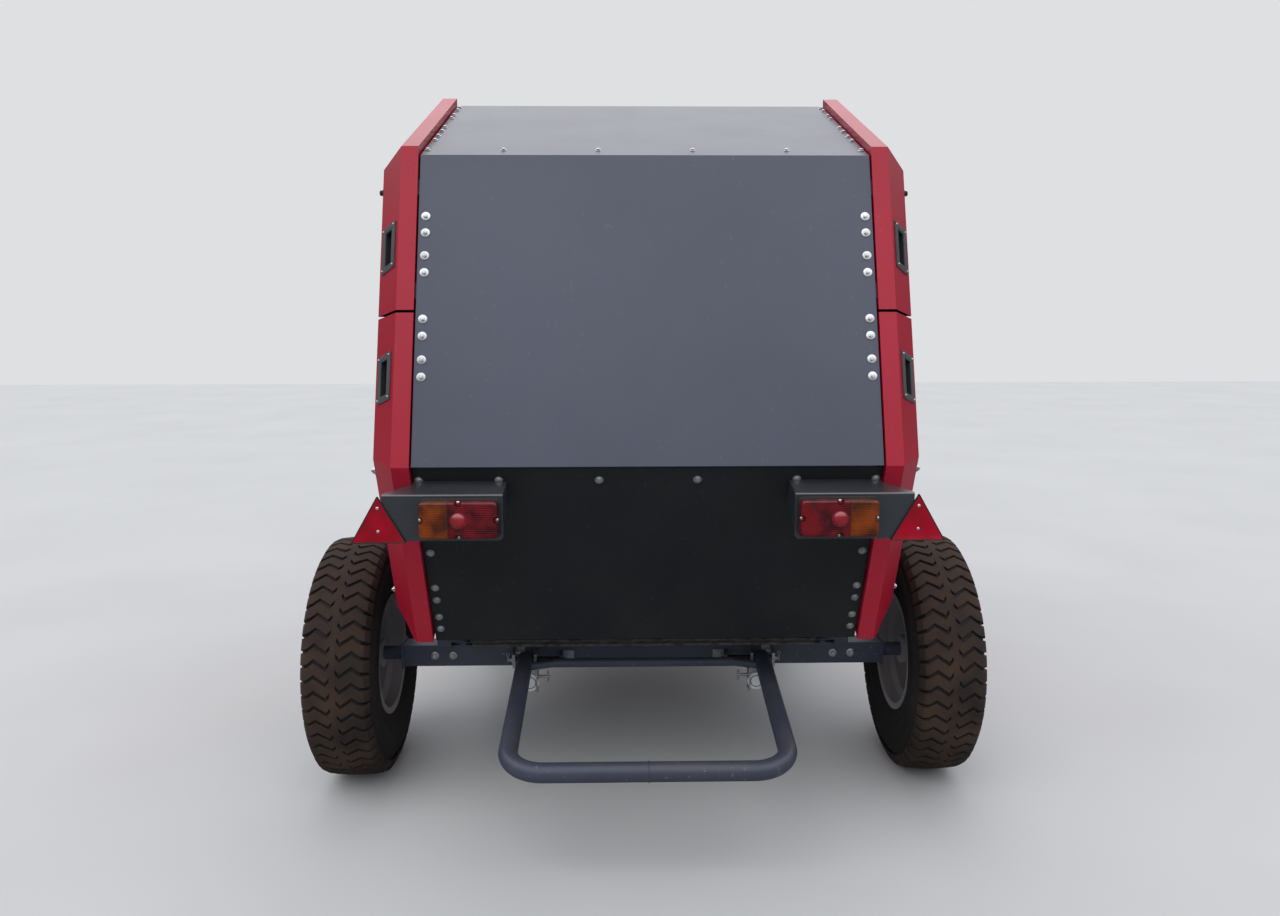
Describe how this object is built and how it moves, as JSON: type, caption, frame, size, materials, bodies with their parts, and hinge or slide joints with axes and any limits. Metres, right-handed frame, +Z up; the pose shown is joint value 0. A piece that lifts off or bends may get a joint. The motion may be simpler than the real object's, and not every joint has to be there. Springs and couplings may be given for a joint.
{
  "type": "towed round baler",
  "caption": "Towed fixed-chamber round baler with rear tailgate, side shields, tined pickup, V drawbar, shaft drive, bale ramp and parking jack",
  "frame": {"origin": "On the ground, midway across the machine and midway between the rear face of its tail lamps and the front of its towing eye", "axes": "+Z up, +Y forward to the tractor, +X to the machine's right"},
  "size_m": [2.31, 3.901, 2.4748],
  "materials": {
    "red_paint": "gloss powder coat, faint orange peel, dusty lower edges",
    "grey_paint": "satin graphite powder coat",
    "frame_paint": "satin blue-grey paint over welds",
    "roller_steel": "painted steel worn bright by straw on the ribs",
    "zinc": "bright zinc plating",
    "spring_steel": "spring steel",
    "chrome_rod": "hard chrome plating",
    "cast": "machined and painted casting",
    "tyre": "black rubber with brown dust on the tread",
    "rim_paint": "silver-grey wheel paint",
    "black_plastic": "matt black plastic",
    "lamp_lens": "red and amber lamp lenses with flutes",
    "reflector": "prismatic red reflector",
    "solid_rubber": "solid rubber tyre on a pressed wheel"
  },
  "bodies": {
    "chassis": {"axle": "frame_paint", "chassis_frame": "frame_paint", "front_walls": "frame_paint", "front_cover": "grey_paint", "front_rollers": "roller_steel", "ramp_brackets": "zinc", "twine_box": "red_paint", "gearbox": "cast", "pto_shaft": "zinc", "pto_guard": "black_plastic", "drawbar": "red_paint", "towing_eye": "cast", "jack_sleeve": "red_paint", "jack_crank": "zinc"},
    "twine_lid": {"twine_lid": "red_paint"},
    "jack_leg": {"jack_leg": "zinc"},
    "wheel_left": {"tyre_left": "tyre", "rim_left": "rim_paint"},
    "wheel_right": {"tyre_right": "tyre", "rim_right": "rim_paint"},
    "pickup": {"pickup_frame": "red_paint", "pickup_bands": "zinc", "windguard": "frame_paint"},
    "reel": {"pickup_reel": "spring_steel"},
    "gauge_left": {"gauge_wheel_left": "solid_rubber"},
    "gauge_right": {"gauge_wheel_right": "solid_rubber"},
    "door_left": {"front_door_left": "red_paint"},
    "door_right": {"front_door_right": "red_paint"},
    "tailgate": {"gate_walls": "frame_paint", "gate_roof_panel": "grey_paint", "gate_main_panel": "grey_paint", "gate_lower_panel": "grey_paint", "gate_rollers": "roller_steel", "shield_upper_left": "red_paint", "shield_upper_right": "red_paint", "lamp_brackets": "frame_paint", "tail_lamps": "lamp_lens", "reflector_triangles": "reflector"},
    "wing_left": {"shield_lower_left": "red_paint"},
    "wing_right": {"shield_lower_right": "red_paint"},
    "ramp": {"ramp": "frame_paint"},
    "barrel_left": {"cylinder_barrel_left": "frame_paint"},
    "barrel_right": {"cylinder_barrel_right": "frame_paint"},
    "rod_left": {"cylinder_rod_left": "chrome_rod"},
    "rod_right": {"cylinder_rod_right": "chrome_rod"}
  },
  "joints": [
    {"name": "wheel_left_turn", "type": "hinge", "parent": "chassis", "child": "wheel_left", "pos_m": [-1.03, -1.0945, 0.43], "axis": [1, 0, 0], "continuous": true},
    {"name": "wheel_right_turn", "type": "hinge", "parent": "chassis", "child": "wheel_right", "pos_m": [1.03, -1.0945, 0.43], "axis": [1, 0, 0], "continuous": true},
    {"name": "tailgate_lift", "type": "hinge", "parent": "chassis", "child": "tailgate", "pos_m": [0, -0.7325, 2.415], "axis": [-1, 0, 0], "range_deg": [0, 60]},
    {"name": "barrel_left_swing", "type": "hinge", "parent": "chassis", "child": "barrel_left", "pos_m": [-0.726, -0.3945, 1.17], "axis": [-1, 0, 0], "range_deg": [0, 3.3]},
    {"name": "barrel_right_swing", "type": "hinge", "parent": "chassis", "child": "barrel_right", "pos_m": [0.726, -0.3945, 1.17], "axis": [-1, 0, 0], "range_deg": [0, 3.3]},
    {"name": "rod_left_slide", "type": "slide", "parent": "barrel_left", "child": "rod_left", "axis": [0, -0.5033, 0.8641], "range_m": [0, 0.34]},
    {"name": "rod_right_slide", "type": "slide", "parent": "barrel_right", "child": "rod_right", "axis": [0, -0.5033, 0.8641], "range_m": [0, 0.34]},
    {"name": "wing_left_lift", "type": "hinge", "parent": "tailgate", "child": "wing_left", "pos_m": [-0.833, -1.0945, 1.68], "axis": [0, 1, 0], "range_deg": [0, 80]},
    {"name": "wing_right_lift", "type": "hinge", "parent": "tailgate", "child": "wing_right", "pos_m": [0.833, -1.0945, 1.68], "axis": [0, -1, 0], "range_deg": [0, 80]},
    {"name": "door_left_swing", "type": "hinge", "parent": "chassis", "child": "door_left", "pos_m": [-0.7, 0.2295, 1.2], "axis": [0, 0, -1], "range_deg": [0, 100]},
    {"name": "door_right_swing", "type": "hinge", "parent": "chassis", "child": "door_right", "pos_m": [0.7, 0.2295, 1.2], "axis": [0, 0, 1], "range_deg": [0, 100]},
    {"name": "twine_lid_lift", "type": "hinge", "parent": "chassis", "child": "twine_lid", "pos_m": [0, 0.04948, 1.876], "axis": [1, 0, 0], "range_deg": [0, 80]},
    {"name": "ramp_tilt", "type": "hinge", "parent": "chassis", "child": "ramp", "pos_m": [0, -1.1745, 0.428], "axis": [-1, 0, 0], "range_deg": [-22, 25]},
    {"name": "pickup_lower", "type": "hinge", "parent": "chassis", "child": "pickup", "pos_m": [0, -0.0745, 0.66], "axis": [-1, 0, 0], "range_deg": [0, 34]},
    {"name": "reel_turn", "type": "hinge", "parent": "pickup", "child": "reel", "pos_m": [0, 0.2355, 0.5], "axis": [1, 0, 0], "continuous": true},
    {"name": "gauge_left_turn", "type": "hinge", "parent": "pickup", "child": "gauge_left", "pos_m": [-0.834, 0.2605, 0.307], "axis": [1, 0, 0], "continuous": true},
    {"name": "gauge_right_turn", "type": "hinge", "parent": "pickup", "child": "gauge_right", "pos_m": [0.834, 0.2605, 0.307], "axis": [1, 0, 0], "continuous": true},
    {"name": "jack_leg_slide", "type": "slide", "parent": "chassis", "child": "jack_leg", "axis": [0, 0, 1], "range_m": [0, 0.3]}
  ],
  "couplings": [
    {"joint": "barrel_left_swing", "follows": "tailgate_lift", "ratio": 0.052},
    {"joint": "barrel_right_swing", "follows": "tailgate_lift", "ratio": 0.052},
    {"joint": "rod_left_slide", "follows": "tailgate_lift", "m_per_rad": 0.3209},
    {"joint": "rod_right_slide", "follows": "tailgate_lift", "m_per_rad": 0.3209}
  ]
}
